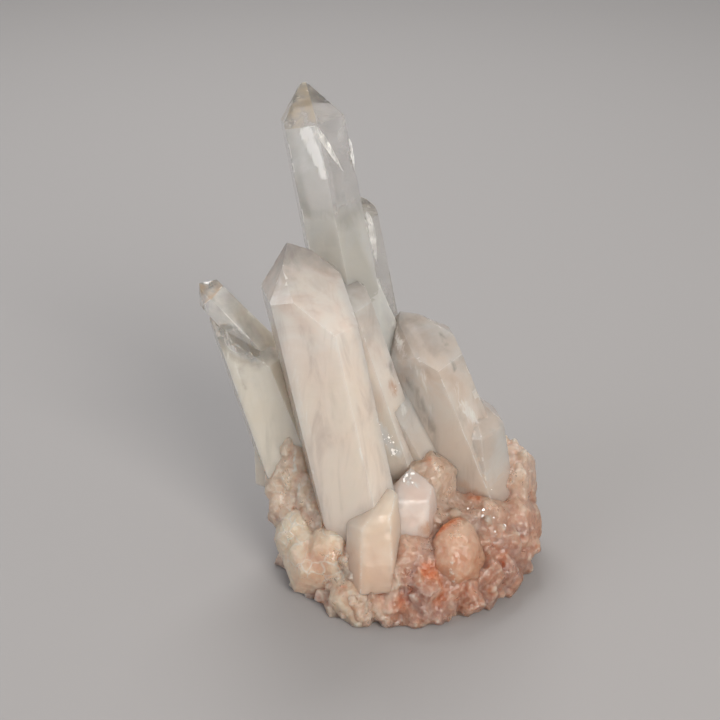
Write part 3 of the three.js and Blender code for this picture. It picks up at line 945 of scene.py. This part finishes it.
def cloud_block(spec, inset, drop, plume):
    """The cloud deep in a crystal, inset from its faces and dropped from its tip, with its upper end
    drawn out in plumes."""
    axis = spec["axis"]
    tip = spec["tip"] - axis * drop
    inner = dict(spec, tip=tip, length=spec["length"] - drop - 3,
                 across=[max(0.6, part - inset) for part in spec["across"]],
                 rise=[0.7 * rise for rise in spec["rise"]])
    bm = crystal_solid(inner, 3 * spec["length"])
    slice_up(bm, inner, CLOUD_STEP)
    round_edges(bm, 0.6)
    bm.normal_update()
    for v in bm.verts:
        pull = max(0.0, 1 - (tip - v.co).dot(axis) / PLUME_LENGTH)
        v.co += axis * plume * pull * noise.noise(Vector((v.co.x, v.co.y, v.co.z * 0.3)) * 0.4)
        v.co -= v.normal * 0.7 * max(0.0, noise.noise(v.co * 0.25))
        v.co.z = max(v.co.z, 0.5)
    return bm


def fracture(start, end, width, facing, seed):
    """A lens of crack between two points, widest at a third of its length and gently buckled."""
    start = Vector(start)
    run = Vector(end) - start
    length = run.length
    run.normalize()
    normal = Vector(facing)
    normal = (normal - run * normal.dot(run)).normalized()
    across = run.cross(normal)
    bm = bmesh.new()
    bmesh.ops.create_grid(bm, x_segments=6, y_segments=24, size=0.5)
    for v in bm.verts:
        t = v.co.y + 0.5
        swell = math.sin(math.pi * t ** 0.6) ** 0.8 if 0 < t < 1 else 0.0
        ragged = 1 + 0.35 * noise.noise(Vector((t * 9, seed, 0.3 * v.co.x)))
        place = start + run * length * t + across * v.co.x * width * max(0.04, swell) * ragged
        v.co = place + normal * 0.35 * noise.noise(place * 0.35 + Vector((seed, 0, 0)))
    bmesh.ops.recalc_face_normals(bm, faces=bm.faces)
    bmesh.ops.solidify(bm, geom=bm.faces[:], thickness=0.06)
    return bm


def inclusion_clouds(name, clouds, material):
    """The clouds of a group of crystals, each given as its crystal, inset, drop and plume."""
    bm = merged_mesh([cloud_block(*cloud) for cloud in clouds])
    return finish_piece(bm, name, material, smooth_angle=60)


def open_fractures(material):
    bm = merged_mesh([fracture(*crack, seed) for seed, crack in enumerate(CRACKS)])
    return finish_piece(bm, "open_fractures", material, smooth_angle=60)


# Base

def crust_blocks():
    """The small crystals of the crusts, but none that would hide the rounded crystal."""
    blocks = []
    for count, *shape in CRUSTS:
        for i in range(count):
            spec = crust_spec(i, count, *shape)
            if not covers_rounded_crystal(spec["tip"]):
                blocks.append(crystal_solid(spec, 3 * spec["length"]))
    return blocks


def measure_crevices(bm, rays, reach):
    """Keeps how closed in each point is by its neighbours within reach, from 0 to 1."""
    tree = BVHTree.FromBMesh(bm)
    directions = spread_directions(rays)

    def closed(v):
        start = v.co + v.normal * 0.2
        seen = [d for d in directions if d.dot(v.normal) > 0.15]
        hits = sum(1 for d in seen if tree.ray_cast(start, d, reach)[0] is not None)
        return hits / max(1, len(seen))

    store(bm, "crevice", closed)


def measure_ridges(bm, rounds, full_height):
    """Keeps how far each point stands out from its smoothed surroundings, from 0 to 1."""
    before = [v.co.copy() for v in bm.verts]
    normals = [v.normal.copy() for v in bm.verts]
    relax(bm, rounds)
    layer = bm.verts.layers.float.new("ridge")
    for v, home, normal in zip(bm.verts, before, normals):
        v[layer] = max(0.0, min(1.0, (home - v.co).dot(normal) / full_height))
        v.co = home


def finish_rock(bm, name, material, smooth_angle):
    bm.normal_update()
    measure_crevices(bm, rays=20, reach=6)
    measure_ridges(bm, rounds=6, full_height=0.5)
    mark_strokes(bm)
    return finish_piece(bm, name, material, smooth_angle)


def small_point(bm, place, axis, radius, length, turn):
    """Adds a small six-sided crystal whose middle is at place, and returns its upper end face."""
    stand = axis.to_track_quat("Z", "Y").to_matrix().to_4x4()
    matrix = Matrix.Translation(place) @ stand @ Matrix.Rotation(turn, 4, "Z")
    made = bmesh.ops.create_cone(bm, cap_ends=True, cap_tris=False, segments=6, radius1=radius * 1.1,
                                 radius2=radius, depth=length, matrix=matrix)
    faces = {f for v in made["verts"] for f in v.link_faces}
    for f in faces:
        f.normal_update()
    return max(faces, key=lambda f: f.normal.dot(axis))


def inside_large_crystal(place, margin):
    return any(all((place - point).dot(normal) < margin for point, normal in planes)
               for planes in LARGE_SHAPES)


def inside_box(place, margin):
    """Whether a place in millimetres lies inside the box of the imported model."""
    return all(low + margin < part * MM < high - margin
               for part, low, high in zip(place, cad_box[0], cad_box[1]))


def covers_rounded_crystal(place):
    """Whether something at a place would hide the front of the rounded crystal."""
    centre, half = Vector(ROUNDED_LUMP[0]), Vector(ROUNDED_LUMP[1])
    offset = place - centre
    return offset.y < 0 and (offset.x / half.x) ** 2 + (offset.z / half.z) ** 2 < 1.1


def blunt_points(skin, count, radii, seed):
    """Small blunt crystals that stand low on the skin, each leaning its own way."""
    bm = bmesh.new()
    ends = []
    low, high = BLUNT_POINTS_HEIGHTS
    skin.verts.ensure_lookup_table()
    tries = 0
    while len(ends) < count and tries < 12 * count:
        tries += 1
        draws = [wobble(tries, seed + use) for use in range(6)]
        v = skin.verts[int(draws[0] * len(skin.verts)) % len(skin.verts)]
        size = between(*radii, draws[1] ** 2)
        lean = Vector((draws[2] - 0.5, draws[3] - 0.5, draws[4] - 0.3))
        axis = (v.normal + 1.1 * lean).normalized()
        shows = (low < v.co.z < high and v.co.x >= BLUNT_POINTS_SIDE
                 and not inside_large_crystal(v.co, 0.3) and not covers_rounded_crystal(v.co))
        if shows and inside_box(v.co + axis * 2.2 * size, 0.5 * MM):
            root = v.co - axis * 0.6 * size
            ends.append(small_point(bm, root, axis, size, 2.4 * size, draws[5] * math.pi))
    bmesh.ops.poke(bm, faces=ends, offset=0.8, use_relative_offset=True)
    bmesh.ops.recalc_face_normals(bm, faces=bm.faces)
    return bm


def base_rock(material):
    """The matrix of the cluster: fused lumps, and the crusts and small blunt crystals on them."""
    lumps = LUMPS + SMALL_LUMPS
    rough = merged_mesh([lump_block(*lump) for lump in lumps])
    bmesh.ops.subdivide_edges(rough, edges=rough.edges, cuts=5, use_grid_fill=True)
    bmesh.ops.triangulate(rough, faces=rough.faces)
    rough.normal_update()
    grown = blunt_points(rough, count=120, radii=(1.2, 2.4), seed=51)
    rough.free()
    blocks = [lump_block(*lump) for lump in lumps] + crust_blocks() + [grown]
    skin = waxy_skin(blocks, voxel=0.55, rounds=1, ripples=((0.45, 0.24), (0.25, 0.6)))
    return finish_rock(skin, "base_rock", material, smooth_angle=50)


def cream_lumps(material):
    skin = waxy_skin([lump_block(*lump) for lump in CREAM_LUMPS], voxel=0.5, rounds=4,
                     ripples=((0.3, 0.2),))
    return finish_rock(skin, "cream_lumps", material, smooth_angle=60)


def rounded_crystal(material):
    """The rounded, etched crystal at the front of the base."""
    skin = waxy_skin([lump_block(*ROUNDED_LUMP)], voxel=0.5, rounds=12,
                     ripples=((0.9, 0.13), (0.3, 0.4)))
    return finish_rock(skin, "rounded_crystal", material, smooth_angle=70)


def sparkling_steps(pieces, material):
    """Clusters of tiny broken steps that lie on the faces of the pieces, each tilted its own way."""
    graph = bpy.context.evaluated_depsgraph_get()
    trees = [BVHTree.FromObject(piece, graph) for piece in pieces]
    bm = bmesh.new()
    for seed, (centre, reach, count) in enumerate(SPARKLES):
        for i in range(count):
            spread = [2 * wobble(i, seed + part) - 1 for part in (0.1, 0.4, 0.7)]
            place = (Vector(centre) + reach * Vector(spread)) * MM
            spot, normal, _, _ = min((tree.find_nearest(place) for tree in trees), key=lambda hit: hit[3])
            spot = spot / MM
            tilt = Vector([wobble(i, seed + part) - 0.5 for part in (1.1, 1.4, 1.7)])
            facing = (normal + TOWARD_LAMP + 0.9 * tilt).normalized()
            if inside_large_crystal(spot, -0.3):
                continue
            size = 0.1 + 0.5 * wobble(i, seed + 2.1) ** 3
            small_point(bm, spot, facing, size, 0.25, wobble(i, seed + 2.4) * math.pi)
    return finish_piece(bm, "sparkling_steps", material, smooth_angle=10)


# Pieces

def build_cluster():
    tall = grown_quartz("rock_crystal_hazy", "#E8E9E7", "#E0DFDB", "#C8C6C0", "#C8CACA", "#D4C2A8",
                        0.98, 0.5, 4 * MM, streak_shade=0.6)
    front = grown_quartz("milky_quartz_blush", "#F1EFEB", "#EEE1D8", "#F9EBDF", "#B9B2AA", "#E8CDB8",
                         0.95, 0.46, 6 * MM, streak_shade=0.45, densest=1.6, patchy=0.65)
    right = grown_quartz("milky_quartz_grey", "#E6E6E3", "#E6D7CB", "#EBDED2", "#C0B9B3", "#DDCBBC",
                         0.95, 0.56, 6 * MM, streak_shade=0.6, densest=1.75)
    left = grown_quartz("rock_crystal_smoky_tip", "#EFEDE5", "#E9E2D5", "#EDE6D9", "#CAC4BA", "#D1B394",
                        0.97, 0.42, 4 * MM, streak_shade=0.5)
    cream = grown_quartz("milky_quartz_cream", "#F7EDE0", "#F1DECC", "#F3DEC9", "#E6D3C0", "#EADAC8",
                         0.85, 0.45, 7 * MM, streak_shade=0.5, etched=0.33)
    rosy = grown_quartz("milky_quartz_pink", "#FBF1EA", "#F5E1D5", "#F3DBCD", "#E6D1C7", "#F0E2D8",
                        0.85, 0.45, 7 * MM, streak_shade=0.5, etched=0.33)
    stained = stained_quartz("iron_stained_quartz", "#F0D8C3", "#D39E84", "#BC968A", "#B96536", "#7A442E",
                             0.5, 6 * MM, grains=0.8, cells=0.6)
    lumpy = stained_quartz("massive_cream_quartz", "#F9E3CB", "#ECC3A4", "#E4BDA4", "#C07846", "#8A5638",
                           0.45, 7 * MM, grains=0.45, cells=0.8)
    etched = stained_quartz("etched_pink_quartz", "#F3D3BA", "#DDA583", "#D29F84", "#B85E26", "#A06238",
                            0.5, 7 * MM, grains=0.4)
    pieces = [
        crystal_group("tall_points", (TALL, SIDE, TALL_FLANK), tall),
        crystal_group("front_points", (FRONT, FRONT_FLANK), front),
        crystal_group("right_points", (RIGHT, RIGHT_SHOULDER, MIDDLE), right),
        crystal_group("left_points", (LEFT, LEFT_LOWER, LEFT_SPUR), left),
        crystal_group("back_points", (BACK_LEAN,), right),
        crystal_group("back_low_point", (BACK_LOW,), right),
        worn_crystal("front_stub", STUB, cream),
        worn_crystal("front_column", FRONT_COLUMN, rosy),
        base_rock(stained),
        cream_lumps(lumpy),
        rounded_crystal(etched),
    ]
    sparkling_steps(pieces, bright_break("broken_steps_bright"))

    white = inclusion_cloud("fluid_inclusions_white", "#EBE5DA", "#DED4C6")
    warm = inclusion_cloud("fluid_inclusions_cream", "#EADFCD", "#DEC9B0")
    inclusion_clouds("tall_points_clouds", (
        (TALL, 2, 44, 12), (TALL_FLANK, 1.6, 12, 6), (SIDE, 1.4, 48, 8)), white)
    inclusion_clouds("front_points_clouds", ((FRONT, 3, 10, 4), (FRONT_FLANK, 2, 10, 4)), white)
    inclusion_clouds("right_points_clouds", (
        (RIGHT, 3, 16, 6), (RIGHT_SHOULDER, 2, 6, 2), (MIDDLE, 2, 6, 2)), white)
    inclusion_clouds("left_points_clouds", ((LEFT_LOWER, 1.6, 27, 8),), white)
    inclusion_clouds("back_points_clouds", ((BACK_LEAN, 1.8, 11, 4), (BACK_LOW, 1.6, 9, 4)), white)
    inclusion_clouds("front_stub_cloud", ((STUB, 1.6, 5, 1), (FRONT_COLUMN, 2, 9, 2)), warm)
    open_fractures(open_fracture("open_fractures_silver"))


# Stage

CAMERA_TARGET = Vector((-14, 2, 66)) * MM
CAMERA_DISTANCE = 385 * MM
CAMERA_ELEVATION = math.radians(28)
HALF_ANGLE = math.radians(15)

# The light of the studio's dome, from the horizon up.
DOME = ((0.0, "#DEDDDA"), (0.25, "#DEDDDB"), (0.6, "#DEDEDD"), (0.95, "#E4E4E4"))


def stand_at(thing, place):
    """Stands the camera or a lamp at a place and turns it to the target."""
    thing.location = place
    thing.rotation_euler = (CAMERA_TARGET - Vector(place)).to_track_quat("-Z", "Y").to_euler()


def set_camera():
    data = bpy.data.cameras.new("camera")
    data.sensor_width = 36
    data.lens = 18 / math.tan(HALF_ANGLE)
    data.clip_start = 0.01
    camera = placed("camera", data)
    away = Vector((0, -math.cos(CAMERA_ELEVATION), math.sin(CAMERA_ELEVATION)))
    stand_at(camera, CAMERA_TARGET + away * CAMERA_DISTANCE)
    bpy.context.scene.camera = camera


def soft_light(name, place, size, power, colour):
    data = bpy.data.lights.new(name, "AREA")
    data.shape = "DISK"
    data.size = size
    data.energy = power
    data.color = linear(colour)[:3]
    stand_at(placed(name, data), place)


def set_stage():
    bm = bmesh.new()
    bmesh.ops.create_grid(bm, x_segments=1, y_segments=1, size=3.0)
    floor = placed("floor", mesh_of(bm, "floor"))
    material, shader, _ = new_material("matt_paper_backdrop")
    fill(shader, {"Base Color": "#949190", "Roughness": 0.9})
    floor.data.materials.append(material)

    world = bpy.data.worlds.new("studio")
    bpy.context.scene.world = world
    world.use_nodes = True
    sky = world.node_tree
    up = add(sky, "SeparateXYZ", {0: add(sky, "TexCoord", {}, "Generated")}, "Z")
    dome = add(sky, "ValToRGB", {"Fac": up}, "Color")
    ramp = dome.node.color_ramp
    while len(ramp.elements) < len(DOME):
        ramp.elements.new(1)
    for element, (height, colour) in zip(ramp.elements, DOME):
        element.position = height
        element.color = linear(colour)
    fill(sky.nodes["Background"], {"Color": dome, "Strength": 0.7})
    soft_light("key_right", (0.4, -0.8, 0.6), 0.5, 9, "#FFFAF4")
    soft_light("fill_left", (-0.75, -0.4, 0.45), 0.6, 2, "#F2F6FF")
    soft_light("rim_back", (-0.1, 0.55, 0.8), 0.5, 5, "#FFFFFF")


build_cluster()
set_camera()
set_stage()
bpy.context.scene.view_settings.view_transform = "Standard"
